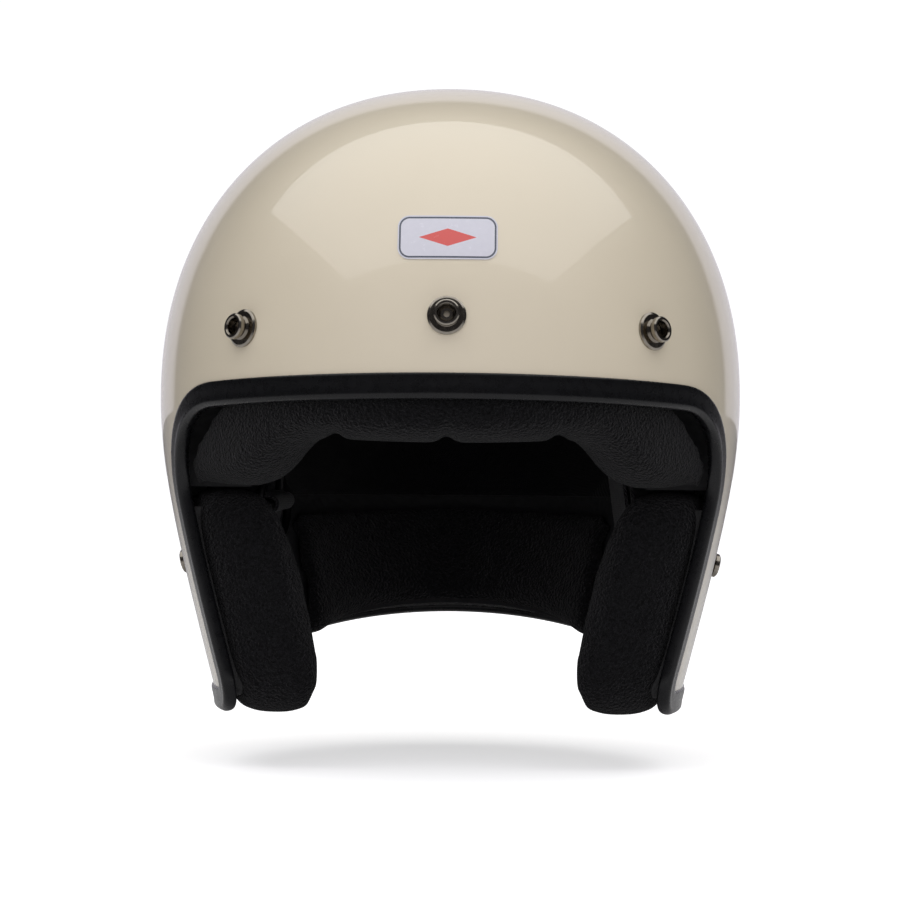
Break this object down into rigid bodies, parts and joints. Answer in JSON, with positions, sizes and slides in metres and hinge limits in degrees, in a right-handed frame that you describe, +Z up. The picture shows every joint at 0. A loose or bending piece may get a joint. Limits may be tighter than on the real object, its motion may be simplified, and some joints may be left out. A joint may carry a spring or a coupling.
{
  "type": "open face motorcycle helmet",
  "caption": "Open face helmet: gloss shell, rubber edge trim, padded lining and cheek pads, visor snap studs and a stowed chin strap with rings.",
  "frame": {"origin": "middle of the widest level section of the shell, inside the head space", "axes": "-Y out through the face opening, +X towards the rider's left, +Z up through the crown"},
  "size_m": [0.238, 0.2819, 0.2538],
  "materials": {
    "shell_paint": "gloss clear coat over cream gelcoat",
    "trim_rubber": "smooth satin black rubber",
    "foam": "moulded bead foam, black",
    "fleece": "short brushed nap, black",
    "quilt": "quilted black lining cloth",
    "backing": "dense bead foam, charcoal",
    "press_stud": "moulded plastic, satin",
    "snap_metal": "polished gunmetal plating",
    "strap_steel": "zinc plated steel",
    "webbing": "plain woven polyester, black",
    "tab_cloth": "stitched red cloth",
    "badge_face": "white gloss with a thin border and a plain lozenge"
  },
  "bodies": {
    "helmet": {"outer_shell": "shell_paint", "edge_trim": "trim_rubber", "impact_liner": "foam", "crown_insert": "foam", "crown_liner": "quilt", "brow_bolster": "fleece", "side_bolster_left": "fleece", "side_bolster_right": "fleece", "rear_liner": "quilt", "neck_roll": "fleece", "cheek_pad_left": "fleece", "cheek_pad_right": "fleece", "cheek_backing_left": "backing", "cheek_backing_right": "backing", "cheek_pad_snaps": "press_stud", "visor_snap_studs": "snap_metal", "visor_snap_rivets": "snap_metal", "visor_snap_washers": "snap_metal", "brow_badge": "badge_face", "strap_rivets": "snap_metal", "strap_rivet_washers": "strap_steel"},
    "hanger_left": {"hanger_plate_left": "strap_steel"},
    "hanger_right": {"hanger_plate_right": "strap_steel"},
    "strap_left": {"strap_webbing_left": "webbing", "keeper_stud": "snap_metal"},
    "tail": {"strap_tail": "webbing", "pull_tab": "tab_cloth", "keeper_socket": "snap_metal"},
    "strap_right": {"strap_webbing_right": "webbing"},
    "ring_outer": {"d_ring_outer": "strap_steel"},
    "ring_inner": {"d_ring_inner": "strap_steel"}
  },
  "joints": [
    {"name": "hanger_left_turn", "type": "hinge", "parent": "helmet", "child": "hanger_left", "pos_m": [0.09972, 0.03, -0.092], "axis": [0.9463, 0.2098, -0.246], "range_deg": [-4, 4]},
    {"name": "hanger_right_turn", "type": "hinge", "parent": "helmet", "child": "hanger_right", "pos_m": [-0.09972, 0.03, -0.092], "axis": [-0.9463, 0.2098, -0.246], "range_deg": [-4, 4]},
    {"name": "strap_left_swing", "type": "hinge", "parent": "hanger_left", "child": "strap_left", "pos_m": [0.08604, 0.02799, -0.1073], "axis": [0.2031, -0.9777, -0.0528], "range_deg": [0, 150]},
    {"name": "tail_unfold", "type": "hinge", "parent": "strap_left", "child": "tail", "pos_m": [0.06787, 0.01892, -0.00928], "axis": [-0.2031, 0.9777, 0.0528], "range_deg": [0, 150]},
    {"name": "strap_right_swing", "type": "hinge", "parent": "hanger_right", "child": "strap_right", "pos_m": [-0.08604, 0.02799, -0.1073], "axis": [0.2031, 0.9777, 0.0528], "range_deg": [0, 150]},
    {"name": "outer_ring_tilt", "type": "hinge", "parent": "strap_right", "child": "ring_outer", "pos_m": [-0.0761, 0.02241, -0.04229], "axis": [0.2031, 0.9777, 0.0528], "range_deg": [-5, 20]},
    {"name": "inner_ring_turn", "type": "hinge", "parent": "strap_right", "child": "ring_inner", "pos_m": [-0.07193, 0.02158, -0.04294], "axis": [-0.2031, -0.9777, -0.0528], "range_deg": [0, 145]}
  ]
}
